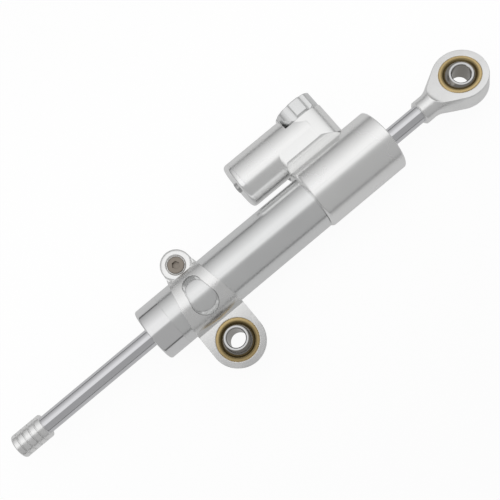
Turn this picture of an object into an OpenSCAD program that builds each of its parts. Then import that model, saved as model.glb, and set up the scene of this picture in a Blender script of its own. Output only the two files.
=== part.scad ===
// Motorcycle steering damper: a through-rod hydraulic damper with a clamp and two spherical bearings.
// +X runs along the rod towards the rod eye, +Y towards the adjuster, +Z along the clamp bearing.
// The origin is the middle of the clamp bearing's bore.

/* [Barrel] */
// Outer diameter of the barrel
barrel_d = 24.6; // [23:0.1:27]
// Wall of the barrel
barrel_wall = 1.6; // [1.5:0.05:1.9]
// Outer diameter of the cylinder liner
liner_d = 19; // [18.8:0.1:19.4]
// Wall of the cylinder liner
liner_wall = 1; // [0.8:0.05:1.2]
// Reduced diameter of the barrel's nose inside the head
nose_d = 23.4; // [23:0.1:23.8]
// Length of the barrel's nose inside the head
nose_len = 8; // [6:0.5:8.4]
// Depth of each end of the liner in its seat
liner_seat = 2; // [1:0.1:2.4]
// Diameter of the oil ports at the liner's rear end
port_d = 1.6; // [1.2:0.1:1.8]

/* [Rear gland] */
// Length of the gland outside the barrel
gland_len = 10.5; // [9.6:0.1:14]
// Length of the gland's spigot inside the barrel
spigot_len = 5.2; // [5:0.1:7]
// Rounding of the gland's outer edge
gland_round = 1; // [0.5:0.1:1.6]

/* [Rod] */
// Diameter of the piston rod
rod_d = 8; // [7.6:0.1:8.4]
// Diameter of the rod's threaded ends
rod_end_d = 6; // [5:0.1:6.4]
// Length of the rod's threaded ends
rod_end_len = 10; // [7:0.5:11]
// Stroke of the rod
stroke = 75; // [60:1:100]
// How far the rod stands out of its closed position
extension = 18.25; // [5:0.05:40]
// Gap left at each end of the stroke
end_gap = 0.5; // [0.4:0.05:2]
// Turn of the rod and its eye about the rod's own axis
rod_turn = -17; // [-60:1:60]

/* [Rod guides] */
// Length of a rod bush
bush_len = 6.2; // [5:0.1:6.4]
// Diameter of a rod bush
bush_d = 11; // [10:0.1:12]
// Length of a rod seal
seal_len = 3.8; // [3:0.1:4]
// Diameter of a rod seal
seal_d = 14; // [13:0.1:15]
// Thickness of a retaining clip
clip_t = 1; // [0.8:0.1:1.1]
// How far a clip stands into its groove
clip_bite = 0.8; // [0.5:0.1:1]
// Length of a wiper
wiper_len = 3.2; // [2.5:0.1:3.4]

/* [Piston] */
// Length of the piston
piston_len = 8; // [7:0.5:12]
// Gap between the piston and the chamber's end at full stroke
piston_gap = 1; // [0.5:0.1:2]
// Radial gap between the piston and the liner
piston_clear = 0.3; // [0.2:0.05:0.5]
// Width of the piston band
band_w = 4; // [3:0.1:5]
// Depth of the groove that holds the band
band_depth = 0.9; // [0.6:0.1:1.4]
// Thickness of the clips beside the piston
piston_clip_t = 0.8; // [0.6:0.1:1]

/* [Head] */
// Diameter of the head's main body
head_d = 29.2; // [28.8:0.1:31]
// Offset of the head's main body from the rod towards the reservoir
head_offset = 1.35; // [0.8:0.05:1.8]
// Length of the head
head_len = 40.6; // [38:0.1:46]
// Depth of the oil chamber inside the head
chamber_depth = 13.9; // [12:0.1:14.4]
// Rounding of the head's rear rim
head_round = 2; // [1:0.1:2.2]
// Rounding of the head's front rim
head_front_round = 0.7; // [0.2:0.1:1]

/* [Reservoir] */
// Diameter of the reservoir cylinder
reservoir_d = 21.6; // [21:0.1:22]
// Wall of the reservoir cylinder
reservoir_wall = 1.9; // [1.6:0.1:2.3]
// Distance between the rod axis and the reservoir axis
reservoir_y = 25.3; // [25:0.1:27]
// Length of the reservoir cylinder behind the head
reservoir_len = 17.2; // [16:0.1:30]
// How far the reservoir's bore runs on into the head
reservoir_depth = 11; // [9:0.1:11.4]
// Thickness of the reservoir cap outside the bore
cap_t = 2.4; // [2:0.1:4]
// Rounding of the reservoir cap's edge
cap_round = 1.8; // [0.8:0.1:1.9]
// Length of the reservoir cap's spigot
cap_spigot = 4; // [3.6:0.1:5]
// Diameter of the bleed screw's head
bleed_head_d = 4.7; // [4:0.1:6]
// Height of the bleed screw's head
bleed_head_h = 0.9; // [0.6:0.1:1.5]
// Diameter of the bleed screw's thread
bleed_d = 3; // [2.5:0.1:3.4]
// Length of the floating piston
float_len = 7; // [6:0.1:8]
// Travel of the floating piston to each side
float_travel = 4; // [3:0.1:4.6]
// Wire of the compensator spring
spring_wire = 1.4; // [1:0.1:1.8]
// Turns of the compensator spring
spring_turns = 4; // [3:1:5]

/* [Adjuster] */
// Distance of the adjuster's axis from the head's rear face
adjuster_x = 20.3; // [20:0.1:22]
// Diameter of the adjuster boss
boss_d = 21.3; // [20.8:0.1:21.5]
// How far the boss's axis lies behind the knob's
boss_offset = 1.2; // [0.8:0.1:1.6]
// Height of the boss above the rod axis
boss_y = 29.8; // [29.5:0.1:31]
// Height of the arm's lower edge above the rod axis
arm_low = 15.2; // [14.8:0.1:15.6]
// Rounding of the arm's lower edges
arm_round = 4; // [2:0.1:5]
// Diameter of the knob
knob_d = 18.5; // [17:0.1:20]
// Height of the knob
knob_h = 7.3; // [6.8:0.1:9]
// Gap between the boss and the knob
knob_gap = 0.3; // [0.2:0.05:0.5]
// Number of lobes round the knob
knob_lobes = 7; // [5:1:9]
// Depth of the flutes between the lobes
flute_depth = 0.8; // [0.4:0.1:1.2]
// Radius of the flutes between the lobes
flute_r = 2.4; // [1.5:0.1:3]
// Height of the bevel under the knob
knob_bevel = 1; // [0.6:0.1:1.6]
// Number of click positions round the knob
clicks = 18; // [12:1:24]
// Diameter of the detent ball
detent_d = 2; // [1.6:0.1:2.1]
// Diameter of the needle housing's thread
housing_d = 11; // [10:0.1:11.4]
// Length of the needle housing inside the boss
housing_len = 10; // [9:0.1:10.4]
// Diameter of the needle housing's neck, on which the knob turns
neck_d = 6.8; // [6.6:0.1:7.2]
// Diameter of the needle's spindle
spindle_d = 5; // [4.6:0.1:5.1]
// Width across the flats of the needle's drive
drive_af = 3; // [2.6:0.1:3.2]
// Diameter of the valve seat
seat_d = 6; // [5.6:0.1:6.4]
// Diameter of the valve seat's orifice
orifice_d = 1.8; // [1.4:0.1:2]
// Diameter of the drilled oil passages
passage_d = 1.8; // [1.4:0.1:2]

/* [Clamp] */
// Distance of the clamp's middle from the barrel's rear end
clamp_setback = 15.7; // [13:0.1:40]
// Distance between the rod axis and the clamp bearing
lug_reach = 24.2; // [24:0.1:32]
// Wall of the clamp's band
clamp_wall = 2; // [1.6:0.1:3]
// Thickness of the lug
lug_t = 9; // [8:0.1:11]
// Rim of the lug round the race
lug_rim = 2.75; // [2:0.05:4]
// Distance between the rod axis and the clamp bolt
ear_y = 15.2; // [15:0.1:17]
// Radius of the ear
ear_r = 6.7; // [6:0.1:8]
// Half of the ear's height along the bolt
ear_h = 9.5; // [9.2:0.1:11]
// Rounding of the ear's edge
ear_round = 1.2; // [0.6:0.1:1.6]
// Width of the slit that the bolt closes
slit = 1.6; // [1:0.1:2.4]
// Diameter of the clamp bolt
bolt_d = 4; // [3.6:0.1:4.4]
// Diameter of the clamp bolt's head
bolt_head_d = 7; // [6.6:0.1:7.4]
// Width of the window's wide end
window_w = 11.3; // [8:0.1:13]
// Width of the window's narrow end
window_top_w = 8.4; // [6:0.1:10]
// Lower end of the window below the rod axis
window_low = 10; // [8:0.1:10.6]
// Upper end of the window above the rod axis
window_high = 7.8; // [6:0.1:8.2]

/* [Spherical bearings] */
// Outer diameter of the brass race
race_d = 17.9; // [17.5:0.1:19]
// Diameter of the ball
ball_d = 15.875; // [15.4:0.025:16.2]
// Width of the ball across its flats
ball_w = 12; // [11:0.1:13]
// Bore of the ball, for the mounting bolt
ball_bore = 8; // [6:0.1:8.4]
// Bevel of the ball's bore
bore_bevel = 0.4; // [0.2:0.05:0.6]
// Width of the race's bevelled mouth
race_bevel = 0.9; // [0.3:0.05:1.1]
// Bevel on the edges of the race's seat, inside and outside
race_edge = 0.25; // [0.1:0.05:0.4]
// Tilt of the clamp ball in its race
clamp_ball_tilt = 8; // [0:1:10]
// Tilt of the eye ball in its race
eye_ball_tilt = 8; // [0:1:10]

/* [Rod eye] */
// Diameter of the eye's shank
shank_d = 11; // [10:0.1:12]
// Length of the eye's straight shank
shank_len = 4.7; // [3:0.1:7]
// Radius of the hollow neck between the shank and the eye
neck_hollow = 8; // [5:0.5:10]
// Bevel at the shank's end
shank_bevel = 0.6; // [0.3:0.1:1]
// Distance from the shank's end to the eye's middle
eye_reach = 23.2; // [22:0.1:32]
// Rim of the eye round its race
eye_rim = 3.2; // [2.4:0.1:4]
// Thickness of the eye
eye_t = 9.2; // [8:0.1:10]
// How much the turned ball of the blank takes off the eye's edges
eye_edge = 0.25; // [0.1:0.05:0.5]
// How far the flat faces run on past the eye's rim
face_run = 2.15; // [1:0.05:3]
// Radius of the cutter that leaves a hollow at the end of the flat faces
face_cutter_r = 3; // [1:0.1:4]

/* [Rear collar] */
// Diameter of the rear collar
collar_d = 10.9; // [10:0.1:13]
// Length of the rear collar
collar_len = 14.2; // [13:0.1:20]
// Number of grooves round the collar
collar_grooves = 4; // [2:1:5]
// Width and depth of a collar groove
groove = 0.65; // [0.3:0.05:0.8]
// Rounding of the collar's edges
collar_round = 0.9; // [0.3:0.1:1.4]

/* [Clearances] */
// Radial clearance of pieces that are fitted and stay put
fit = 0.02; // [0.01:0.01:0.05]
// Radial clearance of pieces that slide or turn
run = 0.04; // [0.02:0.01:0.08]
// Cord diameter of the large seal rings
ring_cord = 1.5; // [1.3:0.05:1.6]
// Side clearance of an O-ring in its groove
ring_side = 0.1; // [0.05:0.01:0.15]
// How far a shape that runs into another is set inside it
inset = 0.05; // [0.02:0.01:0.08]

/* [Hidden] */
$fn = 64;

aluminium = "#d4d6d8";
satin = "#c3c5c7";
chrome = "#e4e7ec";
steel = "#9b9da1";
dark_steel = "#5b5651";
brass = "#b89a57";
rubber = "#222222";
polymer = "#3c5a52";

barrel_r = barrel_d / 2;
barrel_bore = barrel_r - barrel_wall;
liner_r = liner_d / 2;
chamber_r = liner_r - liner_wall;
nose_r = nose_d / 2;
barrel_len = stroke + piston_len + 2 * piston_gap + spigot_len - chamber_depth;
barrel_x0 = -clamp_setback;
barrel_x1 = barrel_x0 + barrel_len;
gland_x0 = barrel_x0 - gland_len;
chamber_x0 = barrel_x0 + spigot_len;
gland_ring_x = barrel_x0 + ring_cord / 2 + 0.8;
head_x0 = barrel_x1;
head_x1 = head_x0 + head_len;
chamber_x1 = head_x0 + chamber_depth;
rod_r = rod_d / 2;
collar_x1 = gland_x0 - (stroke - extension) - end_gap;
collar_x0 = collar_x1 - collar_len;
eye_x0 = head_x1 + extension + end_gap;
eye_x = eye_x0 + eye_reach;
piston_x0 = chamber_x0 + piston_gap + extension;
piston_x1 = piston_x0 + piston_len;
band_x0 = (piston_x0 + piston_x1 - band_w) / 2;
guide_len = wiper_len + clip_t + seal_len + bush_len;
head_r = head_d / 2;
reservoir_r = reservoir_d / 2;
reservoir_bore = reservoir_r - reservoir_wall;
reservoir_x0 = head_x0 - reservoir_len;
reservoir_x1 = head_x0 + reservoir_depth;
cap_x0 = reservoir_x0 - cap_t;
cap_x1 = reservoir_x0 + cap_spigot;
cap_ring_x = (reservoir_x0 + cap_x1) / 2 + 0.2;
float_ring_z = float_len / 2 + 1.1;
float_x0 = reservoir_x1 - float_len - float_travel - fit - 1;
knob_x = head_x0 + adjuster_x;
boss_r = boss_d / 2;
boss_x = knob_x - boss_offset;
knob_r = knob_d / 2;
knob_start = 14.5;
knob_y0 = boss_y + knob_gap;
knob_y1 = knob_y0 + knob_h;
housing_r = housing_d / 2;
housing_y0 = boss_y - housing_len;
neck_r = neck_d / 2;
neck_collar_t = 3.3;
recess_y = knob_y0 + neck_collar_t;
knob_clip_t = 0.6;
knob_clip_y = recess_y + 0.2;
neck_y1 = knob_clip_y + knob_clip_t + 0.4;
knob_cap_y = neck_y1 + 0.3;
recess_r = neck_r + 1.8;
spindle_r = spindle_d / 2;
seat_y0 = chamber_r + 0.3;
seat_t = 3;
seat_y1 = seat_y0 + seat_t;
needle_bore = seat_d / 2 + 0.4;
needle_tip_y = seat_y1 - 0.6;
drive_top = knob_y1 - 1.3;
detent_r = detent_d / 2;
detent_out = housing_r + detent_r + 0.5;
detent_rise = 0.35;
clamp_r = barrel_r + clamp_wall;
race_r = race_d / 2;
lug_r = race_r + lug_rim;
eye_r = race_r + eye_rim;
blank_r = norm([eye_r, eye_t / 2]) - eye_edge;
ball_r = ball_d / 2;
race_seat = ball_r + run;
taper_y = -clamp_r * 0.85;
seat_z = 5.3;
bolt_head_h = bolt_d;
spring_r = reservoir_bore - spring_wire / 2 - 0.6;
over = 1;

// Lays local Z along the rod, with local Y kept
module along_rod(x = 0) {
    translate([x, lug_reach, 0]) rotate([0, 90, 0]) children();
}

// Lays local Z along the reservoir's axis
module along_reservoir(x = 0) {
    translate([0, reservoir_y, 0]) along_rod(x) children();
}

// Stands local Z up along the adjuster's axis, from a height above the rod axis
module along_adjuster(y = 0) {
    translate([knob_x, lug_reach + y, 0]) rotate([-90, 0, 0]) children();
}

// Turns the rod's pieces about the rod axis
module turned() {
    translate([0, lug_reach, 0]) rotate([rod_turn, 0, 0]) translate([0, -lug_reach, 0]) children();
}

// Plain ring from height z0 to z1
module ring(outer, inner, z0, z1) {
    difference() {
        translate([0, 0, z0]) cylinder(r = outer, h = z1 - z0);
        translate([0, 0, z0 - over]) cylinder(r = inner, h = z1 - z0 + 2 * over);
    }
}

// Solid of revolution, z0 to z1, with its edges rounded by radii a and b
module rounded_rod(r, z0, z1, a, b) {
    rotate_extrude() difference() {
        translate([0, z0]) square([r, z1 - z0]);
        if (a > 0) translate([r - a, z0 + a]) corner_cut(a, -1);
        if (b > 0) translate([r - b, z1 - b]) corner_cut(b, 1);
    }
}

// What a rounding of radius a takes off a square corner, above or below
module corner_cut(a, side) {
    difference() {
        mirror([0, side < 0 ? 1 : 0]) square(a + over);
        circle(a);
    }
}

// Ring of round cord
module seal_ring(middle_r, cord, z) {
    translate([0, 0, z]) rotate_extrude() translate([middle_r, 0]) circle(d = cord, $fn = 32);
}

// Groove for an O-ring whose outer edge is flush with a piece of radius r, a little wider than its cord
module o_ring_groove(r, z) {
    ring(r + ring_cord, r - ring_cord - fit, z - ring_cord / 2 - ring_side, z + ring_cord / 2 + ring_side);
}

// Points of one coil: a wire of 6 sides swept round a helix
function coil_points(r, wire, z0, pitch, turns, steps) = [
    for (i = [0 : turns * steps], j = [0 : 5])
        let (turn = i * 360 / steps, side = j * 60, out = r + wire / 2 * cos(side))
        [out * cos(turn), out * sin(turn), z0 + pitch * i / steps + wire / 2 * sin(side)]
];

// Round wire spring between two heights, its end turns resting on them
module coil(r, wire, z0, z1, turns) {
    steps = 14;
    rings = turns * steps;
    pitch = (z1 - z0 - wire) / turns;
    faces = concat(
        [[for (j = [0 : 5]) j]],
        [for (i = [0 : rings - 1], j = [0 : 5])
            [i * 6 + j, (i + 1) * 6 + j, (i + 1) * 6 + (j + 1) % 6, i * 6 + (j + 1) % 6]],
        [[for (j = [5 : -1 : 0]) rings * 6 + j]]
    );
    polyhedron(coil_points(r, wire, z0 + wire / 2, pitch, turns, steps), faces, convexity = 10);
}

// Pockets for the bush, seal, clip and wiper, from an outer face at z = 0 inwards along +Z
module guide_pockets() {
    translate([0, 0, -over]) cylinder(d = seal_d + 2 * fit, h = over + wiper_len + clip_t + seal_len);
    translate([0, 0, wiper_len]) cylinder(r = seal_d / 2 + clip_bite, h = clip_t + fit);
    translate([0, 0, wiper_len]) cylinder(r = bush_d / 2 + fit, h = guide_len - wiper_len);
    cylinder(r = rod_r + 0.25, h = guide_len + 3 * over + chamber_depth);
}

// Bronze bush at its depth behind an outer face at z = 0
module bush() {
    z0 = guide_len - bush_len + fit;
    ring(bush_d / 2, rod_r + run, z0, guide_len - fit);
}

// Lipped rod seal behind an outer face at z = 0
module rod_seal() {
    z0 = wiper_len + clip_t + fit;
    z1 = z0 + seal_len - 2 * fit;
    difference() {
        ring(seal_d / 2, rod_r + run, z0, z1);
        translate([0, 0, z1 - 1.6]) difference() {
            cylinder(r = seal_d / 2 - 1.2, h = 1.6 + over);
            translate([0, 0, -over]) cylinder(r = rod_r + 1.2, h = 4 * over);
        }
    }
}

// Retaining clip with an open side, in its groove behind an outer face at z = 0
module seal_clip() {
    difference() {
        ring(seal_d / 2 + clip_bite - fit, seal_d / 2 - 1, wiper_len + fit, wiper_len + clip_t - fit);
        translate([0, -1.5, 0]) cube([seal_d, 3, guide_len]);
    }
}

// Wiper with a lip, flush with the outer face at z = 0
module wiper() {
    difference() {
        ring(seal_d / 2, rod_r + run, 0, wiper_len - fit);
        translate([0, 0, -over]) cylinder(r1 = rod_r + 1.7 + over, r2 = rod_r + 0.7, h = over + 1);
    }
}

// Faces outwards at the rear gland's face
module at_rear_face() {
    along_rod(gland_x0) children();
}

// Faces outwards at the head's front face
module at_front_face() {
    along_rod(head_x1) mirror([0, 0, 1]) children();
}

module barrel() color(aluminium) along_rod() difference() {
    union() {
        translate([0, 0, barrel_x0]) cylinder(r = barrel_r, h = barrel_len);
        translate([0, 0, barrel_x0]) cylinder(r = nose_r, h = barrel_len + nose_len);
    }
    translate([0, 0, barrel_x0 - over]) cylinder(r = barrel_bore, h = barrel_len + nose_len + 2 * over);
}

module cylinder_liner() color(steel) along_rod() difference() {
    ring(liner_r, chamber_r, chamber_x0 - liner_seat + fit, chamber_x1 + liner_seat - fit);
    for (turn = [0 : 90 : 270])
        rotate([0, 0, turn + 45]) translate([0, 0, chamber_x0 + port_d])
            rotate([0, 90, 0]) cylinder(d = port_d, h = barrel_r);
}

module rear_gland() color(aluminium) along_rod() difference() {
    union() {
        rounded_rod(barrel_r, gland_x0, barrel_x0, gland_round, 0);
        translate([0, 0, gland_x0 + gland_round])
            cylinder(r = barrel_bore - fit, h = chamber_x0 - gland_x0 - gland_round);
    }
    translate([0, 0, gland_x0]) guide_pockets();
    ring(liner_r + fit, chamber_r - fit, chamber_x0 - liner_seat, chamber_x0 + over);
    o_ring_groove(barrel_bore - fit, gland_ring_x);
}

module gland_o_ring() color(rubber) along_rod()
    seal_ring(barrel_bore - ring_cord / 2 - fit, ring_cord, gland_ring_x);

module rear_rod_bush() color(brass) at_rear_face() bush();
module rear_rod_seal() color(polymer) at_rear_face() rod_seal();
module rear_seal_clip() color(steel) at_rear_face() seal_clip();
module rear_wiper() color(rubber) at_rear_face() wiper();
module front_rod_bush() color(brass) at_front_face() bush();
module front_rod_seal() color(polymer) at_front_face() rod_seal();
module front_seal_clip() color(steel) at_front_face() seal_clip();
module front_wiper() color(rubber) at_front_face() wiper();

// Arm that carries the reservoir and the adjuster: its sides, seen from the adjuster's side
module arm_outline() {
    half = boss_r - inset;
    difference() {
        translate([head_x0, -half]) square([boss_x - head_x0, 2 * half]);
        for (side = [-1, 1])
            translate([head_x0 + head_round, side * (half - head_round)])
                mirror([1, 0]) corner_cut(head_round, side);
    }
}

// The arm's cross-section, with rounded lower edges; drawn with x away from the rod axis
module arm_section() {
    difference() {
        translate([arm_low, -boss_r - over / 2]) square([boss_y - arm_low + over, 2 * boss_r + over]);
        for (side = [-1, 1])
            translate([arm_low + arm_round, side * (boss_r + inset - arm_round)])
                mirror([1, 0]) corner_cut(arm_round, side);
    }
}

module head_arm() {
    intersection() {
        union() {
            translate([boss_x, lug_reach, 0]) rotate([-90, 0, 0]) cylinder(r = boss_r, h = boss_y);
            translate([0, lug_reach, 0]) rotate([-90, 0, 0]) linear_extrude(reservoir_y) arm_outline();
        }
        translate([head_x0 - over, lug_reach, 0]) rotate([90, 0, 90]) linear_extrude(head_len) arm_section();
    }
}

// Every bore and pocket round the rod axis inside the head
module head_bores() {
    ring_z = head_x0 + nose_len;
    along_rod() {
        translate([0, 0, head_x0 - over]) cylinder(r = nose_r + fit, h = nose_len + ring_cord + over);
        translate([0, 0, ring_z]) cylinder(r = barrel_bore, h = ring_cord + 1.8);
        translate([0, 0, ring_z]) cylinder(r = liner_r + fit, h = chamber_depth - nose_len);
        ring(liner_r + fit, chamber_r - fit, chamber_x1 - over, chamber_x1 + liner_seat);
    }
    at_front_face() guide_pockets();
}

// The drilled oil passages between chamber, return space, needle and reservoir
module oil_passages() {
    start = [head_x0 + nose_len + ring_cord + 0.9, lug_reach + liner_r + passage_d / 2 - 0.3, 0];
    low_y = chamber_r - passage_d / 2 - 0.2;
    reservoir_low = reservoir_y - reservoir_bore + passage_d / 2 + 0.6;
    translate([chamber_x1 - over, lug_reach + low_y, 0]) rotate([0, 90, 0])
        cylinder(d = passage_d, h = knob_x - chamber_x1 + over);
    translate([reservoir_x1 - over, lug_reach + reservoir_low, 0]) rotate([0, 90, 0])
        cylinder(d = passage_d, h = knob_x - reservoir_x1 + over);
    translate(start) rotate([0, 0, 27]) rotate([0, 90, 0]) cylinder(d = passage_d, h = knob_x - start.x);
    along_adjuster(low_y) cylinder(d = passage_d, h = seat_y0 - low_y + over);
}

module head_block() color(aluminium) difference() {
    union() {
        translate([0, head_offset, 0]) along_rod()
            rounded_rod(head_r, head_x0, head_x1, head_round, head_front_round);
        along_reservoir() translate([0, 0, reservoir_x0])
            cylinder(r = reservoir_r, h = boss_x - reservoir_x0);
        head_arm();
    }
    translate([knob_x - knob_r - 0.5, lug_reach + boss_y, -head_r]) cube([head_r + knob_r, head_d, head_d]);
    head_bores();
    along_reservoir(reservoir_x0 - over) cylinder(r = reservoir_bore, h = reservoir_x1 - reservoir_x0 + over);
    along_adjuster(housing_y0) cylinder(r = housing_r + fit, h = housing_len + over);
    along_adjuster(seat_y1 - over) cylinder(r = needle_bore, h = housing_y0 - seat_y1 + 2 * over);
    along_adjuster(seat_y0) cylinder(r = seat_d / 2 + fit, h = seat_t);
    along_adjuster(boss_y - 3 * detent_d) translate([detent_out, 0, 0])
        cylinder(r = detent_r + run, h = 3 * detent_d + over);
    oil_passages();
}

module head_o_ring() color(rubber) along_rod()
    seal_ring(nose_r - ring_cord / 2, ring_cord - fit, head_x0 + nose_len + ring_cord / 2);

module reservoir_cap() color(aluminium) along_reservoir() difference() {
    union() {
        rounded_rod(reservoir_r, cap_x0, reservoir_x0, cap_round, 0);
        translate([0, 0, cap_x0 + cap_round]) cylinder(r = reservoir_bore - fit, h = cap_x1 - cap_x0 - cap_round);
    }
    o_ring_groove(reservoir_bore - fit, cap_ring_x);
    translate([0, 0, cap_x0 - over]) cylinder(r = bleed_d / 2 + fit, h = cap_x1 - cap_x0 + 2 * over);
}

module reservoir_cap_o_ring() color(rubber) along_reservoir()
    seal_ring(reservoir_bore - ring_cord / 2 - fit, ring_cord, cap_ring_x);

module bleed_screw() color(satin) along_reservoir(cap_x0) difference() {
    union() {
        rounded_rod(bleed_head_d / 2, -bleed_head_h, 0, bleed_head_h * 0.6, 0);
        translate([0, 0, -bleed_head_h / 2]) cylinder(d = bleed_d, h = cap_t + cap_spigot + bleed_head_h / 2);
    }
    translate([0, 0, -bleed_head_h - over]) cylinder(r = bleed_d / 3, h = over + 1.2, $fn = 6);
}

module floating_piston() color(satin) along_reservoir(float_x0) difference() {
    cylinder(r = reservoir_bore - run, h = float_len);
    translate([0, 0, -over]) cylinder(r = spring_r - spring_wire, h = float_len / 2 + over);
    o_ring_groove(reservoir_bore - run, float_ring_z);
}

module floating_piston_o_ring() color(rubber) along_reservoir(float_x0)
    seal_ring(reservoir_bore - ring_cord / 2 - run, ring_cord, float_ring_z);

module compensator_spring() color(steel) along_reservoir()
    coil(spring_r, spring_wire, cap_x1 + fit, float_x0 - fit, spring_turns);

module valve_seat() color(brass) along_adjuster(seat_y0) difference() {
    cylinder(r = seat_d / 2, h = seat_t);
    translate([0, 0, -over]) cylinder(d = orifice_d, h = seat_t + 2 * over);
    translate([0, 0, seat_t - 1]) cylinder(r1 = orifice_d / 2, r2 = orifice_d / 2 + 1 + over, h = 1 + over);
}

module needle_housing() color(brass) along_adjuster() difference() {
    union() {
        translate([0, 0, housing_y0 + fit]) cylinder(r = housing_r, h = housing_len - fit);
        translate([0, 0, boss_y - over]) cylinder(r = neck_r, h = neck_y1 - boss_y + over);
    }
    translate([0, 0, housing_y0 - over]) cylinder(r = spindle_r + run, h = neck_y1 - housing_y0 + 2 * over);
    ring(neck_r + over, neck_r - 0.35, knob_clip_y - 0.05, knob_clip_y + knob_clip_t + 0.05);
}

module needle() color(steel) along_adjuster() difference() {
    union() {
        translate([0, 0, needle_tip_y]) cylinder(r1 = 0.3, r2 = orifice_d / 2 + 1, h = 3);
        translate([0, 0, needle_tip_y + 3]) cylinder(r = orifice_d / 2 + 1, h = housing_y0 - needle_tip_y - 3);
        translate([0, 0, housing_y0]) cylinder(r = spindle_r, h = recess_y - housing_y0);
        translate([0, 0, recess_y - over]) cylinder(r = drive_af / sqrt(3), h = drive_top - recess_y + over, $fn = 6);
    }
    ring(spindle_r + over, spindle_r - 0.7, housing_y0 + 1.2, housing_y0 + 2.4);
}

module needle_o_ring() color(rubber) along_adjuster()
    seal_ring(spindle_r - 0.35, 0.7 - fit, housing_y0 + 1.8);

// Outline of the knob with its lobes
module knob_outline(r) {
    difference() {
        circle(r);
        for (i = [0 : knob_lobes - 1])
            rotate([0, 0, (i + 0.5) * 360 / knob_lobes + knob_start])
                translate([knob_r - flute_depth + flute_r, 0]) circle(flute_r);
    }
}

module adjuster_knob() color(aluminium) along_adjuster() difference() {
    intersection() {
        translate([0, 0, knob_y0]) linear_extrude(knob_h) knob_outline(knob_r);
        rotate_extrude() difference() {
            translate([0, knob_y0]) square([knob_r, knob_h]);
            polygon([
                [knob_r - knob_bevel - over, knob_y0 - over], [knob_r + over, knob_y0 - over],
                [knob_r + over, knob_y0 + knob_bevel + over]
            ]);
            translate([knob_r, knob_y1]) rotate(45) square(0.5, center = true);
        }
    }
    translate([0, 0, knob_y0 - over]) cylinder(r = neck_r + run, h = neck_collar_t + 2 * over);
    translate([0, 0, recess_y]) cylinder(r = recess_r + fit, h = knob_h);
    ring(detent_out + detent_r + 0.1, detent_out - detent_r - 0.1, knob_y0 - over, boss_y + detent_rise + 0.2);
    for (i = [0 : clicks - 1])
        rotate([0, 0, i * 360 / clicks]) translate([detent_out, 0, boss_y + 0.3]) sphere(r = detent_r, $fn = 24);
}

module knob_cap() color(satin) along_adjuster() difference() {
    translate([0, 0, knob_cap_y]) cylinder(r = recess_r, h = knob_y1 - knob_cap_y);
    translate([0, 0, knob_cap_y - over])
        cylinder(r = (drive_af + 4 * run) / sqrt(3), h = drive_top + 0.5 - knob_cap_y + over, $fn = 6);
}

module knob_clip() color(steel) along_adjuster() difference() {
    ring(recess_r - 0.4, neck_r - 0.35 + fit, knob_clip_y, knob_clip_y + knob_clip_t);
    translate([0, -1.4, knob_clip_y - over]) cube([recess_r, 2.8, 3 * over]);
}

module detent_ball() color(steel) along_adjuster(boss_y - detent_r + detent_rise)
    translate([detent_out, 0, 0]) sphere(r = detent_r);

module detent_spring() color(steel) along_adjuster(boss_y) translate([detent_out, 0, 0])
    coil(detent_r - 0.35, 0.35, -3 * detent_d + fit, -detent_d + detent_rise - fit, 5);

// Outline of the whole clamp seen along its bolt, with the rod axis at y = 0
module clamp_outline() {
    translate([0, ear_y]) circle(ear_r);
    polygon([[-ear_r, ear_y], [ear_r, ear_y], [lug_r, taper_y], [-lug_r, taper_y]]);
    translate([-lug_r, -lug_reach]) square([2 * lug_r, lug_reach + taper_y]);
    translate([0, -lug_reach]) circle(lug_r);
}

// Egg-shaped window, wide end towards the lug; its straight sides start just inside the round ends
module window_outline() {
    side_inset = 0.05;
    low_r = window_w / 2;
    high_r = window_top_w / 2;
    low_y = low_r - window_low;
    high_y = window_high - high_r;
    lean = asin((low_r - high_r) / (high_y - low_y));
    low = (low_r - side_inset) * [cos(lean), sin(lean)];
    high = (high_r - side_inset) * [cos(lean), sin(lean)];
    translate([0, low_y]) circle(low_r);
    translate([0, high_y]) circle(high_r);
    polygon([
        [-low[0], low_y + low[1]], [low[0], low_y + low[1]],
        [high[0], high_y + high[1]], [-high[0], high_y + high[1]]
    ]);
}

// Ear block round the bolt, both halves, with rounded outer edges
module clamp_ear() {
    translate([0, ear_y, 0]) rounded_rod(ear_r, -ear_h, ear_h, ear_round, ear_round);
    translate([-ear_r, 0, -ear_h + ear_round]) cube([2 * ear_r, ear_y, 2 * (ear_h - ear_round)]);
}

module clamp() color(satin) translate([0, lug_reach, 0]) difference() {
    union() {
        intersection() {
            translate([0, 0, -clamp_r]) linear_extrude(2 * clamp_r) clamp_outline();
            rotate([0, 90, 0]) cylinder(r = clamp_r, h = 4 * lug_r, center = true);
        }
        intersection() {
            translate([0, 0, -lug_t / 2]) linear_extrude(lug_t) clamp_outline();
            translate([-lug_r, -lug_reach - lug_r, -lug_t]) cube([2 * lug_r, lug_reach + lug_r, 2 * lug_t]);
        }
        clamp_ear();
    }
    rotate([0, 90, 0]) cylinder(r = barrel_r + run, h = 4 * lug_r, center = true);
    translate([-2 * ear_r, 0, -slit / 2]) cube([4 * ear_r, ear_y + ear_r + over, slit]);
    linear_extrude(clamp_r + over) window_outline();
    translate([0, -lug_reach, 0]) race_seat_cut(lug_t);
    translate([0, ear_y, -ear_h - over]) cylinder(r = bolt_d / 2 + fit, h = 2 * ear_h + 2 * over);
    translate([0, ear_y, seat_z]) cylinder(r = bolt_head_d / 2 + 0.4, h = ear_h);
    translate([0, ear_y, ear_h - 0.5]) cylinder(r1 = bolt_head_d / 2 + 0.4, r2 = bolt_head_d / 2 + 1.4, h = 1);
}

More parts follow.
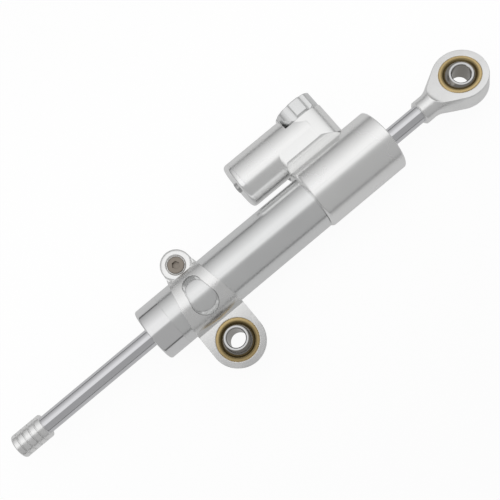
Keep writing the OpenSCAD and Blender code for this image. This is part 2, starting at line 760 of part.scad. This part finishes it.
module clamp_bolt() color(dark_steel) translate([0, lug_reach + ear_y, 0]) difference() {
    union() {
        rounded_rod(bolt_head_d / 2, seat_z + fit, seat_z + bolt_head_h, 0, 0.4);
        translate([0, 0, -ear_h + 0.5]) cylinder(d = bolt_d, h = ear_h - 0.5 + seat_z + bolt_head_h / 2);
    }
    translate([0, 0, seat_z + bolt_head_h - 2]) cylinder(r = bolt_d * 0.75 / sqrt(3), h = 3, $fn = 6);
}

// Bore that a race is pressed into, with bevelled edges
module race_seat_cut(thickness) {
    cylinder(r = race_r + fit, h = thickness + 2 * over, center = true);
    for (side = [0, 1])
        mirror([0, 0, side]) translate([0, 0, thickness / 2 - race_edge])
            cylinder(r1 = race_r + fit, r2 = race_r + fit + race_edge + over, h = race_edge + over);
}

// Brass race, bevelled outside and towards the ball at both faces
module race(thickness) {
    mouth = sqrt(race_seat ^ 2 - (thickness / 2) ^ 2);
    difference() {
        union() {
            cylinder(r = race_r, h = thickness - 2 * race_edge, center = true);
            for (side = [0, 1])
                mirror([0, 0, side]) translate([0, 0, thickness / 2 - race_edge])
                    cylinder(r1 = race_r, r2 = race_r - race_edge, h = race_edge);
        }
        sphere(r = race_seat);
        for (side = [0, 1])
            mirror([0, 0, side]) translate([0, 0, thickness / 2 - race_bevel])
                cylinder(r1 = mouth, r2 = mouth + race_bevel + over, h = race_bevel + over);
    }
}

// Steel ball with flats and a bevelled through bore
module ball() {
    difference() {
        intersection() {
            sphere(r = ball_r);
            cube([ball_d, ball_d, ball_w], center = true);
        }
        cylinder(d = ball_bore, h = ball_w + over, center = true);
        for (side = [0, 1])
            mirror([0, 0, side]) translate([0, 0, ball_w / 2 - bore_bevel])
                cylinder(r1 = ball_bore / 2, r2 = ball_bore / 2 + bore_bevel + over, h = bore_bevel + over);
    }
}

module clamp_race() color(brass) race(lug_t);
module clamp_ball() color(steel) rotate([-clamp_ball_tilt, 0, 0]) ball();

module piston_rod() color(chrome) turned() along_rod() difference() {
    union() {
        translate([0, 0, collar_x1]) cylinder(r = rod_r, h = eye_x0 - collar_x1);
        translate([0, 0, collar_x1 - rod_end_len]) cylinder(d = rod_end_d, h = eye_x0 - collar_x1 + 2 * rod_end_len);
    }
    for (x = [piston_x0 - piston_clip_t, piston_x1])
        ring(rod_r + over, rod_r - 0.5, x, x + piston_clip_t);
}

module piston() color(satin) turned() along_rod() difference() {
    ring(chamber_r - piston_clear, rod_r + fit, piston_x0 + fit, piston_x1 - fit);
    ring(chamber_r, chamber_r - piston_clear - band_depth, band_x0 - run, band_x0 + band_w + run);
}

module piston_band() color(polymer) along_rod()
    ring(chamber_r - run, chamber_r - piston_clear - band_depth + run, band_x0, band_x0 + band_w);

module piston_clips() color(steel) turned() along_rod()
    for (x = [piston_x0 - piston_clip_t, piston_x1])
        ring(rod_r + 1.3, rod_r - 0.5 + fit, x + fit, x + piston_clip_t - fit);

module rear_collar() color(satin) turned() along_rod() difference() {
    rounded_rod(collar_d / 2, collar_x0, collar_x1, collar_round, collar_round / 2);
    translate([0, 0, collar_x1 - rod_end_len - 0.5]) cylinder(r = rod_end_d / 2 + fit, h = rod_end_len + 0.5 + over);
    for (i = [1 : collar_grooves])
        translate([0, 0, collar_x0 + i * collar_len / (collar_grooves + 1)])
            ring(collar_d, collar_d / 2 - groove, -groove / 2, groove / 2);
}

// Angle at which the neck leaves a shank of radius shank_r to run onto a round end of radius end_r
function neck_lean(shank_r, end_r) =
    let (along = eye_reach - shank_len, out = shank_r + neck_hollow)
    asin((neck_hollow + end_r) / norm([along, out])) - atan2(out, along);

// Half of the neck's outline, drawn along +Y, from the shank to its round end
module neck_half(shank_r, end_r) {
    lean = neck_lean(shank_r, end_r - inset);
    difference() {
        polygon([
            [0, 0], [shank_r - shank_bevel, 0], [shank_r, shank_bevel], [shank_r, shank_len],
            [shank_r + neck_hollow * (1 - cos(lean)), shank_len + neck_hollow * sin(lean)],
            [(end_r - inset) * cos(lean), eye_reach - (end_r - inset) * sin(lean)], [0, eye_reach]
        ]);
        translate([shank_r + neck_hollow - inset / 2, shank_len]) circle(neck_hollow);
    }
    intersection() {
        translate([0, eye_reach]) circle(end_r);
        square([2 * end_r, 3 * eye_reach]);
    }
}

// Blank of the eye, turned about the rod axis: shank, hollow neck and ball end
module eye_blank() {
    rotate([0, 90, 0]) rotate_extrude() neck_half(shank_d / 2, blank_r);
}

// Side outline of the eye, left a little wider than the shank
module eye_outline() {
    for (side = [0, 1])
        mirror([0, side]) rotate(-90) mirror([1, 0]) neck_half(shank_d / 2 + 6 * inset, eye_r);
}

module rod_eye() color(satin) turned() translate([eye_x0, lug_reach, 0]) difference() {
    intersection() {
        eye_blank();
        linear_extrude(2 * blank_r, center = true) eye_outline();
    }
    for (side = [0, 1])
        mirror([0, 0, side]) translate([eye_reach, 0, 0])
            rounded_rod(eye_r + face_run + face_cutter_r, eye_t / 2, blank_r + over, face_cutter_r, 0);
    rotate([0, 90, 0]) translate([0, 0, -over]) cylinder(r = rod_end_d / 2 + fit, h = rod_end_len + 0.5 + over);
    translate([eye_reach, 0, 0]) race_seat_cut(eye_t);
}

module eye_race() color(brass) turned() translate([eye_x, lug_reach, 0]) race(eye_t);
module eye_ball() color(steel) turned() translate([eye_x, lug_reach, 0]) rotate([eye_ball_tilt, 0, 0]) ball();

barrel();
cylinder_liner();
rear_gland();
gland_o_ring();
rear_rod_bush();
rear_rod_seal();
rear_seal_clip();
rear_wiper();
head_block();
head_o_ring();
front_rod_bush();
front_rod_seal();
front_seal_clip();
front_wiper();
reservoir_cap();
reservoir_cap_o_ring();
bleed_screw();
floating_piston();
floating_piston_o_ring();
compensator_spring();
valve_seat();
needle_housing();
needle();
needle_o_ring();
adjuster_knob();
knob_cap();
knob_clip();
detent_ball();
detent_spring();
clamp();
clamp_bolt();
clamp_race();
clamp_ball();
piston_rod();
piston();
piston_band();
piston_clips();
rear_collar();
rod_eye();
eye_race();
eye_ball();
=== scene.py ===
import math

import bpy
from mathutils import Matrix, Vector


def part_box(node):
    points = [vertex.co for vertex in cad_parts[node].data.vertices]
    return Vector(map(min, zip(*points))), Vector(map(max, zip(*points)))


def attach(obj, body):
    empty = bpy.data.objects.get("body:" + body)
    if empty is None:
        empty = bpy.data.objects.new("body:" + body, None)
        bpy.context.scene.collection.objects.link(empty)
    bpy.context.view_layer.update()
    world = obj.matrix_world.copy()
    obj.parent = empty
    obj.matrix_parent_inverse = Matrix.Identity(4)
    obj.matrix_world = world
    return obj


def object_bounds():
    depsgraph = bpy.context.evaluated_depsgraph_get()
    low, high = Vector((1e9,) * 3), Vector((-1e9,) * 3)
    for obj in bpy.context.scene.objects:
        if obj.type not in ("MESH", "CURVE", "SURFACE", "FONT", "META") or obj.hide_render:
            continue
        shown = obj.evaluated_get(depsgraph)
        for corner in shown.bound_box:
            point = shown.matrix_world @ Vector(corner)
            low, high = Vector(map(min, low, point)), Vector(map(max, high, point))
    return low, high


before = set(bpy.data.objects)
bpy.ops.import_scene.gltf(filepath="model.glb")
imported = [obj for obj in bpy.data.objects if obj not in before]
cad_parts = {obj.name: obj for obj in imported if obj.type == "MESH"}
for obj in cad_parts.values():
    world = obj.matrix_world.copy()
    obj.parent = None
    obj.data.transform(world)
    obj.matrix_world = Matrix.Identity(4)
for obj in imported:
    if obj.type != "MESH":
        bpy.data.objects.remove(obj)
cad_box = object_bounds()
mm = 0.001

# The camera
# The damper lies on a table and is taken from above, 8 degrees off the plumb line, so that the
# rod runs from the lower left corner of the picture to the upper right one.
rod_y = sum(corner.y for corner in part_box("piston_rod")) / 2
camera_distance = 357 * mm
picture_turn = math.radians(39.8)
lean_back = math.radians(2.8)
lean_down = math.radians(8)
looked_at = Vector((27.75 * mm, rod_y + 1.6 * mm, 0))
to_camera = Vector((-math.tan(lean_back), -math.tan(lean_down), 1)).normalized()
along_rod = Vector((1, 0, 0)) - to_camera.x * to_camera
along_rod.normalize()
across_rod = to_camera.cross(along_rod)
right = math.cos(picture_turn) * along_rod - math.sin(picture_turn) * across_rod
up = math.sin(picture_turn) * along_rod + math.cos(picture_turn) * across_rod
camera = bpy.data.objects.new("camera", bpy.data.cameras.new("camera"))
bpy.context.collection.objects.link(camera)
camera.data.lens = 61.2
camera.data.sensor_width = 36
camera.data.clip_start = 10 * mm
camera.matrix_world = Matrix.Translation(looked_at + camera_distance * to_camera) @ Matrix(
    (right, up, to_camera)).transposed().to_4x4()
bpy.context.scene.camera = camera
bpy.context.scene.view_settings.view_transform = "Standard"


# The light
# A sheet of diffusing cloth is stretched low over the damper. Its left part is lit and falls off
# evenly to the side, its right part is plain grey, and a dark gap shows all round, where it ends.
def node(tree, kind, inputs=None, **settings):
    """A new shader node; an input is set to a value, or linked to another node's socket."""
    made = tree.nodes.new("ShaderNode" + kind)
    for name, value in settings.items():
        setattr(made, name, value)
    for name, value in (inputs or {}).items():
        socket = made.inputs[name]
        if isinstance(value, bpy.types.NodeSocket):
            tree.links.new(value, socket)
        else:
            socket.default_value = value
    return made


def ramp(tree, angle, stops):
    """Brightness by angle, from (degrees, brightness) pairs."""
    share = node(tree, "MapRange", {"Value": angle, "From Min": -math.pi, "From Max": math.pi})
    made = node(tree, "ValToRGB", {"Fac": share.outputs["Result"]})
    elements = made.color_ramp.elements
    for _ in range(len(stops) - 2):
        elements.new(0.5)
    for element, (degrees, brightness) in zip(elements, stops):
        element.position = 0.5 + degrees / 360
        element.color = (brightness, brightness, brightness, 1)
    return made.outputs["Color"]


def square(name, reach, height):
    """A level square sheet that isn't part of the damper; returns the object and its mesh."""
    mesh = bpy.data.meshes.new(name)
    corners = [(-reach, -reach), (reach, -reach), (reach, reach), (-reach, reach)]
    mesh.from_pydata([(x, y, height) for x, y in corners], [], [(0, 1, 2, 3)])
    made = bpy.data.objects.new(name, mesh)
    bpy.context.collection.objects.link(made)
    return made, mesh


def empty_material(name):
    """A material with no nodes yet."""
    made = bpy.data.materials.new(name)
    made.use_nodes = True
    made.node_tree.nodes.clear()
    return made, made.node_tree


white = (1, 1, 1, 1)
dark = (0.1, 0.1, 0.1, 1)
sheet_height = 100 * mm
sheet_over_barrel = sheet_height - 12 * mm
sheet_reach = 900 * mm
lit_level, far_level, grey_level = 0.95, 0.35, 0.42
sheet, sheet_mesh = square("light_sheet", sheet_reach, sheet_height)
sheet.visible_camera = False
lit_cloth, tree = empty_material("lit_cloth")
spot = node(tree, "SeparateXYZ", {"Vector": node(tree, "TexCoord").outputs["Object"]})
to_right = node(tree, "Math", {0: rod_y, 1: spot.outputs["Y"]}, operation="SUBTRACT")
tilt = node(tree, "Math", {0: to_right.outputs[0], 1: sheet_over_barrel}, operation="ARCTAN2")
glow = ramp(tree, tilt.outputs[0], [
    (-88, far_level), (-25, lit_level), (4, lit_level), (10, grey_level)])
glowing = node(tree, "Emission", {"Color": glow, "Strength": 1.0})
node(tree, "OutputMaterial", {"Surface": glowing.outputs[0]})
sheet_mesh.materials.append(lit_cloth)

world = bpy.data.worlds.new("dark_gap")
bpy.context.scene.world = world
world.use_nodes = True
tree = world.node_tree
tree.nodes.clear()
gap = node(tree, "Background", {"Color": dark, "Strength": 1.0})
white_wall = node(tree, "Background", {"Color": white, "Strength": 1.0})
seen = node(tree, "LightPath").outputs["Is Camera Ray"]
shown = node(tree, "MixShader", {0: seen, 1: gap.outputs[0], 2: white_wall.outputs[0]})
node(tree, "OutputWorld", {"Surface": shown.outputs[0]})

# The table
# White cloth under the damper. It stays white in the picture, with a faint shadow, and looks
# light grey in the polished metal.
table_reach = 1500 * mm
seen_level, mirrored_level = 1.06, 0.62
seen_share, mirrored_share = 0.88, 0.7
table, table_mesh = square("table", table_reach, cad_box[0].z)
cloth, tree = empty_material("table_cloth")
place = node(tree, "TexCoord").outputs["Object"]
weave = node(tree, "TexNoise", {"Vector": place, "Scale": 900.0})
shade = node(tree, "MapRange", {"Value": weave.outputs["Fac"], "To Min": 0.74, "To Max": 0.78})
plain = node(tree, "BsdfDiffuse", {"Color": shade.outputs["Result"]})
as_seen = node(tree, "Emission", {"Color": white, "Strength": seen_level})
as_mirrored = node(tree, "Emission", {"Color": white, "Strength": mirrored_level})
path = node(tree, "LightPath")
mirrored = node(tree, "Math", {
    0: path.outputs["Is Glossy Ray"], 1: path.outputs["Is Transmission Ray"]},
    operation="MAXIMUM")
in_metal_share = node(tree, "Math", {
    0: mirrored.outputs[0], 1: mirrored_share}, operation="MULTIPLY")
in_picture_share = node(tree, "Math", {
    0: path.outputs["Is Camera Ray"], 1: seen_share}, operation="MULTIPLY")
in_metal = node(tree, "MixShader", {
    0: in_metal_share.outputs[0], 1: plain.outputs[0], 2: as_mirrored.outputs[0]})
in_picture = node(tree, "MixShader", {
    0: in_picture_share.outputs[0], 1: in_metal.outputs[0], 2: as_seen.outputs[0]})
node(tree, "OutputMaterial", {"Surface": in_picture.outputs[0]})
table_mesh.materials.append(cloth)


# Barrel and cylinder liner
# The barrel is a drawn aluminium tube, turned to a fine finish and clear anodised. The liner is a
# thin ground tube inside it, in which the piston runs.
def finish(name, colour, metallic, roughness):
    """A new material with a Principled shader; returns material, tree and shader."""
    made = bpy.data.materials.new(name)
    made.use_nodes = True
    shader = made.node_tree.nodes["Principled BSDF"]
    shader.inputs["Base Color"].default_value = (*colour, 1)
    shader.inputs["Metallic"].default_value = metallic
    shader.inputs["Roughness"].default_value = roughness
    return made, made.node_tree, shader


def dress(material, slot, *names):
    """Gives CAD nodes this material; slot, the record's finish that it stands for, is not used.
    """
    for name in names:
        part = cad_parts[name]
        part.data.materials.clear()
        part.data.materials.append(material)


def vary(tree, shader, vector, colour, spread, roughness, rough_spread, scale):
    """Slight clouding of colour and roughness, as anodised metal has."""
    clouds = node(tree, "TexNoise", {"Vector": vector, "Scale": scale, "Detail": 3.0})
    usual = {"Value": clouds.outputs["Fac"], "From Min": 0.3, "From Max": 0.7}
    tint = node(tree, "MapRange", {**usual, "To Min": 1 - spread, "To Max": 1 + spread})
    mixed = node(tree, "VectorMath", {
        0: (*colour,), "Scale": tint.outputs["Result"]}, operation="SCALE")
    tree.links.new(mixed.outputs[0], shader.inputs["Base Color"])
    dull = node(tree, "MapRange", {
        **usual, "To Min": roughness - rough_spread, "To Max": roughness + rough_spread})
    tree.links.new(dull.outputs["Result"], shader.inputs["Roughness"])


def broken_edges(tree, width):
    """Every edge is broken with a fine file, so it catches the light."""
    return node(tree, "Bevel", {"Radius": width}, samples=6).outputs["Normal"]


def relief(tree, shader, height, strength, distance, edges=None):
    """Fine raised marks on a surface, with its edges broken where a width is given."""
    bump = node(tree, "Bump", {"Height": height, "Strength": strength, "Distance": distance})
    if edges:
        tree.links.new(broken_edges(tree, edges), bump.inputs["Normal"])
    tree.links.new(bump.outputs[0], shader.inputs["Normal"])


def turned(name, colour, roughness, line_depth, axis="X", lines=4200.0):
    """Metal turned on a lathe: fine rings square to its axis, faint clouding in the anodising."""
    made, tree, shader = finish(name, colour, 1.0, roughness)
    place = node(tree, "TexCoord").outputs["Object"]
    vary(tree, shader, place, colour, 0.02, roughness, 0.02, 60.0)
    stretch = {"X": (lines, 12, 12), "Y": (12, lines, 12), "Z": (12, 12, lines)}[axis]
    stretched = node(tree, "Mapping", {"Vector": place, "Scale": stretch})
    rings = node(tree, "TexNoise", {
        "Vector": stretched.outputs[0], "Scale": 1.0, "Detail": 2.0})
    relief(tree, shader, rings.outputs["Fac"], line_depth, 0.02 * mm, edges=0.25 * mm)
    return made


anodised_barrel = turned("anodised_barrel", (0.84, 0.845, 0.845), 0.23, 0.25)
dress(anodised_barrel, "anodised", "barrel")
ground_liner = turned("ground_liner", (0.6, 0.6, 0.6), 0.25, 0.2)
dress(ground_liner, "inner_aluminium", "cylinder_liner")


# Rear gland, with its bush, seal, clip and wiper
# The gland is a turned aluminium plug, brighter than the barrel, pushed into its end on an
# O-ring. In it sit a bronze bush, a lip seal held by a spring clip, and a rubber wiper.
def rubber(name, colour, roughness):
    """Moulded rubber or polymer, slightly uneven."""
    made, tree, shader = finish(name, colour, 0.0, roughness)
    place = node(tree, "TexCoord").outputs["Object"]
    vary(tree, shader, place, colour, 0.12, roughness, 0.06, 300.0)
    grain = node(tree, "TexNoise", {"Vector": place, "Scale": 5000.0, "Detail": 2.0})
    relief(tree, shader, grain.outputs["Fac"], 0.3, 0.03 * mm)
    return made


bright_gland = turned("bright_gland", (0.84, 0.84, 0.845), 0.12, 0.15)
dress(bright_gland, "anodised", "rear_gland")
seal_rubber = rubber("seal_rubber", (0.02, 0.02, 0.021), 0.5)
seal_polymer = rubber("seal_polymer", (0.1, 0.2, 0.24), 0.4)
bush_bronze = turned("bush_bronze", (0.68, 0.45, 0.2), 0.3, 0.3)
spring_steel = turned("spring_steel", (0.5, 0.5, 0.5), 0.3, 0.1)
dress(seal_rubber, "seal_rubber", "gland_o_ring", "rear_wiper", "front_wiper", "head_o_ring",
      "reservoir_cap_o_ring", "floating_piston_o_ring", "needle_o_ring")
dress(seal_polymer, "seal_polymer", "rear_rod_seal", "front_rod_seal", "piston_band")
dress(bush_bronze, "inner_brass", "rear_rod_bush", "front_rod_bush", "valve_seat")
dress(spring_steel, "inner_steel", "rear_seal_clip", "front_seal_clip", "piston_clips",
      "knob_clip", "compensator_spring", "detent_spring")


# Rod and piston
# The rod is steel, hard chromed, ground and polished along its length. The piston is held on it
# between two spring clips and carries a slippery band.
def chrome(name, colour, roughness):
    """Hard chrome: mirror bright, with polishing marks too fine to see one by one."""
    made, tree, shader = finish(name, colour, 1.0, roughness)
    place = node(tree, "TexCoord").outputs["Object"]
    vary(tree, shader, place, colour, 0.01, roughness, 0.02, 120.0)
    stretched = node(tree, "Mapping", {"Vector": place, "Scale": (2500, 10, 10)})
    rings = node(tree, "TexNoise", {"Vector": stretched.outputs[0], "Scale": 1.0})
    relief(tree, shader, rings.outputs["Fac"], 0.08, 0.01 * mm)
    return made


hard_chrome = chrome("hard_chrome", (0.74, 0.74, 0.76), 0.08)
dress(hard_chrome, "chrome", "piston_rod")
dress(ground_liner, "inner_aluminium", "piston", "floating_piston")

# Head block
# One aluminium block, turned round the rod and round the side cylinder, milled between them and
# clear anodised. It closes the barrel and carries the reservoir and the adjuster's boss.
anodised_head = turned("anodised_head", (0.955, 0.955, 0.95), 0.27, 0.12)
dress(anodised_head, "anodised", "head_block")


# Head arm's milled edges
# The arm's lower edges are milled off flat at 50 degrees, down to the turned body, on both faces
# of the block, and run out on the adjuster's round boss.
def add_piece(name, data, body):
    """A new piece from a mesh or curve, riding on a body."""
    made = bpy.data.objects.new(name, data)
    bpy.context.collection.objects.link(made)
    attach(made, body)


def arm_edge(side):
    """One milled flat, side 1 near the camera and -1 under the block, as a thin closed strip."""
    arm_rear, rear_round, arm_half = 60.6, 2.0, 10.6
    boss_x, boss_r = 79.7, 10.66
    slope_y, slope_z = -0.766, 0.643
    corner_y, corner_z, cut_depth, run_out = 19.2, 6.6, 4.02, 0.02
    rows, columns = 16, 14
    top, below = [], []
    for row in range(rows + 1):
        z = corner_z + (arm_half + run_out - corner_z) * row / rows
        y = corner_y + (cut_depth - slope_z * (z - corner_z)) / slope_y
        inner = max(0.0, z - (arm_half - rear_round))
        start = arm_rear + rear_round - math.sqrt(max(0.0, rear_round ** 2 - inner ** 2))
        end = boss_x + math.sqrt(boss_r ** 2 - z ** 2)
        for column in range(columns + 1):
            x = start + (end - start) * column / columns
            top.append((x * mm, rod_y + y * mm, side * z * mm))
            below.append((x * mm, rod_y + (y - slope_y) * mm, side * (z - slope_z) * mm))
    across = columns + 1
    count = len(top)
    faces = []
    for row in range(rows):
        for column in range(columns):
            first = row * across + column
            quad = (first, first + 1, first + across + 1, first + across)
            faces += [quad, tuple(count + corner for corner in reversed(quad))]
    rim = list(range(across)) + [row * across + columns for row in range(1, rows + 1)]
    rim += [rows * across + column for column in range(columns - 1, -1, -1)]
    rim += [row * across for row in range(rows - 1, 0, -1)]
    for here, there in zip(rim, rim[1:] + rim[:1]):
        faces.append((there, here, here + count, there + count))
    if side < 0:
        faces = [tuple(reversed(face)) for face in faces]
    mesh = bpy.data.meshes.new("arm_edge")
    mesh.from_pydata(top + below, [], faces)
    mesh.materials.append(anodised_head)
    name = "arm_edge_near" if side > 0 else "arm_edge_far"
    add_piece(name, mesh, "damper_body")


arm_edge(1)
arm_edge(-1)

# Reservoir cap and bleed screw
# A turned cap closes the side cylinder, with a small bleed screw in its middle.
# Both are plain turned work, the screw in stainless steel.
anodised_cap = turned("anodised_cap", (0.95, 0.95, 0.95), 0.18, 0.1)
dress(anodised_cap, "anodised", "reservoir_cap")
screw_steel = turned("screw_steel", (0.55, 0.55, 0.55), 0.25, 0.1)
dress(screw_steel, "small_screw", "bleed_screw")

# Click adjuster
# The lobed knob is milled from bar and anodised; it turns the needle by its hexagon. A ball and
# spring in the boss click into the notches under it.
anodised_knob = turned("anodised_knob", (0.84, 0.845, 0.845), 0.26, 0.08, axis="Y")
dress(anodised_knob, "anodised", "adjuster_knob", "knob_cap")
dress(screw_steel, "inner_steel", "needle", "detent_ball")
dress(bush_bronze, "inner_brass", "needle_housing")


# Clamp and its bolt
# The clamp is milled aluminium, bead blasted and clear anodised to an even satin. A dark oiled
# socket screw in its ear closes the slit.
def blasted(name, colour, roughness):
    """Bead-blasted aluminium: an even, very fine dimpled satin."""
    made, tree, shader = finish(name, colour, 1.0, roughness)
    place = node(tree, "TexCoord").outputs["Object"]
    vary(tree, shader, place, colour, 0.03, roughness, 0.03, 180.0)
    dimples = node(tree, "TexNoise", {
        "Vector": place, "Scale": 3200.0, "Detail": 3.0, "Roughness": 0.6})
    relief(tree, shader, dimples.outputs["Fac"], 0.4, 0.05 * mm, edges=0.4 * mm)
    return made


blasted_clamp = blasted("blasted_clamp", (0.93, 0.93, 0.925), 0.26)
dress(blasted_clamp, "blasted", "clamp")
dark_steel = turned("dark_steel", (0.3, 0.265, 0.23), 0.35, 0.1, axis="Z")
dress(dark_steel, "dark_screw", "clamp_bolt")


# Window's painted shadow line
# A thin dark wire round the edge of the clamp's window paints the shadow in the gap to the
# barrel.
# It follows two arcs, wide below and narrow above, and the straight sides between them.
def window_shadow_line(material):
    """The painted shadow as a thin closed dark wire, lying on the clamp's round band."""
    wide, narrow = 5.65, 4.2
    lowest, highest = -10.0, 7.8
    band_r, line_r = 14.3, 0.09
    steps = 48
    low_y, high_y = lowest + wide, highest - narrow
    lean = math.asin((wide - narrow) / (high_y - low_y))
    outline = []
    for radius, middle_y, start, sweep in (
            (narrow, high_y, lean, math.pi - 2 * lean),
            (wide, low_y, math.pi - lean, math.pi + 2 * lean)):
        for step in range(steps + 1):
            turn = start + sweep * step / steps
            outline.append((radius * math.cos(turn), middle_y + radius * math.sin(turn)))
    line = bpy.data.curves.new("window_shadow_line", "CURVE")
    line.dimensions = "3D"
    line.bevel_depth = line_r * mm
    line.bevel_resolution = 3
    path = line.splines.new("POLY")
    path.points.add(len(outline) - 1)
    for point, (x, y) in zip(path.points, outline):
        point.co = (x * mm, rod_y + y * mm, math.sqrt(band_r ** 2 - y ** 2) * mm, 1)
    path.use_cyclic_u = True
    line.materials.append(material)
    add_piece("window_shadow_line", line, "clamp")


# The wire's dark grey colour is painted shadow for the gap between the clamp and the barrel.
window_shadow_line(blasted("painted_shadow_line", (0.3, 0.3, 0.3), 0.4))


# Sleeve round the bolt's head
# A thin bright sleeve, 0.3 mm thick, lines the counterbore round the screw's head. Its inner rim
# is bevelled, and it stands a little below the top of the screw.
def bolt_sleeve():
    """The sleeve's section, carried once round the screw's axis."""
    inner, outer, length, bevel, below_top = 3.56, 3.87, 1.5, 0.1, 0.3
    steps = 96
    low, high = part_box("clamp_bolt")
    middle_x, middle_y, top = (low.x + high.x) / 2, (low.y + high.y) / 2, high.z - below_top * mm
    section = [
        (inner, -length), (outer, -length), (outer, 0.0), (inner + bevel, 0.0), (inner, -bevel)]
    around = len(section)
    points, faces = [], []
    for step in range(steps):
        turn = 2 * math.pi * step / steps
        for radius, depth in section:
            points.append((
                middle_x + radius * math.cos(turn) * mm, middle_y + radius * math.sin(turn) * mm,
                top + depth * mm))
    for step in range(steps):
        here, there = step * around, ((step + 1) % steps) * around
        for side in range(around):
            beside = (side + 1) % around
            faces.append((here + side, there + side, there + beside, here + beside))
    mesh = bpy.data.meshes.new("bolt_sleeve")
    mesh.from_pydata(points, [], faces)
    mesh.validate()
    mesh.materials.append(blasted_clamp)
    add_piece("bolt_sleeve", mesh, "clamp")


bolt_sleeve()


# Spherical bearings
# Each is a brass race pressed into its eye, swaged round a hardened steel ball with two flats and
# a through bore for the mounting bolt. The brass is coloured darker beside the ball, and the ball
# has painted shade on its side and in its bore.
def from_middle(tree, middle):
    """The place on a piece, counted from its own middle."""
    place = node(tree, "TexCoord").outputs["Object"]
    return node(tree, "VectorMath", {0: place, 1: middle}, operation="SUBTRACT").outputs[0]


def length_of(tree, vector):
    return node(tree, "VectorMath", {0: vector}, operation="LENGTH").outputs["Value"]


def along(tree, value, start, end):
    """Grows from 0 to 1 as a value goes from start to end."""
    return node(tree, "MapRange", {
        "Value": value, "From Min": start, "From Max": end}).outputs["Result"]


def darken_metal(tree, colour, kept_share):
    """Darkens a metal to this colour where the share given is 0, and leaves it where it is 1; it
    paints the shade on the balls and the darker brass beside them.
    """
    darker_input, kept_input = 6, 7
    base = tree.nodes["Principled BSDF"].inputs["Base Color"]
    darkened = node(tree, "Mix", {
        darker_input: (*colour, 1), kept_input: base.links[0].from_socket, "Factor": kept_share},
        data_type="RGBA")
    tree.links.new(darkened.outputs[2], base)


def brass(name, middle, tilt):
    """Brass, bright on its face and coloured darker towards the ball."""
    made = turned(name, (0.66, 0.5, 0.25), 0.22, 0.15, axis="Z")
    tree = made.node_tree
    level = node(tree, "VectorRotate", {
        "Vector": from_middle(tree, middle), "Angle": tilt}, rotation_type="X_AXIS")
    flat = node(tree, "VectorMath", {0: level.outputs[0], 1: (1, 1, 0)}, operation="MULTIPLY")
    out = length_of(tree, flat.outputs[0])
    darken_metal(tree, (0.3, 0.23, 0.11), along(tree, out, 7.7 * mm, 8.2 * mm))
    return made


def bearing_steel(name, middle):
    """Ground steel, bright on the ball's flats, with painted shade making it darker on its side
    and in its bore.
    """
    made = turned(name, (0.66, 0.66, 0.66), 0.16, 0.1, axis="Z")
    tree = made.node_tree
    out = length_of(tree, from_middle(tree, middle))
    outside_bore = along(tree, out, 7.1 * mm, 7.25 * mm)
    inside_side = along(tree, out, 7.92 * mm, 7.8 * mm)
    on_flat = node(tree, "Math", {0: outside_bore, 1: inside_side}, operation="MULTIPLY")
    # Painted shade: the ball's side and its bore are coloured darker than its flats.
    darken_metal(tree, (0.3, 0.285, 0.26), on_flat.outputs[0])
    return made


def middle_of(name):
    return [sum(pair) / 2 for pair in zip(*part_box(name))]


eye_tilt = math.radians(17)
dress(brass("clamp_brass", (0, 0, 0), 0), "race_brass", "clamp_race")
dress(brass("eye_brass", middle_of("eye_race"), eye_tilt), "race_brass", "eye_race")
for ball in ("clamp_ball", "eye_ball"):
    dress(bearing_steel("steel_of_" + ball, middle_of(ball)), "bearing_steel", ball)

# Rod eye
# A forged and milled aluminium eye, bead blasted like the clamp, screwed on the rod's front end.
# It holds the second bearing, turned a little out of the clamp's plane.
blasted_eye = blasted("blasted_eye", (0.93, 0.93, 0.925), 0.3)
dress(blasted_eye, "blasted", "rod_eye")

# Rear collar
# A turned aluminium collar with four grooves, screwed on the rod's rear end as its stop.
# It is bead blasted, like the clamp and the eye.
blasted_collar = blasted("blasted_collar", (0.95, 0.95, 0.945), 0.27)
dress(blasted_collar, "blasted", "rear_collar")
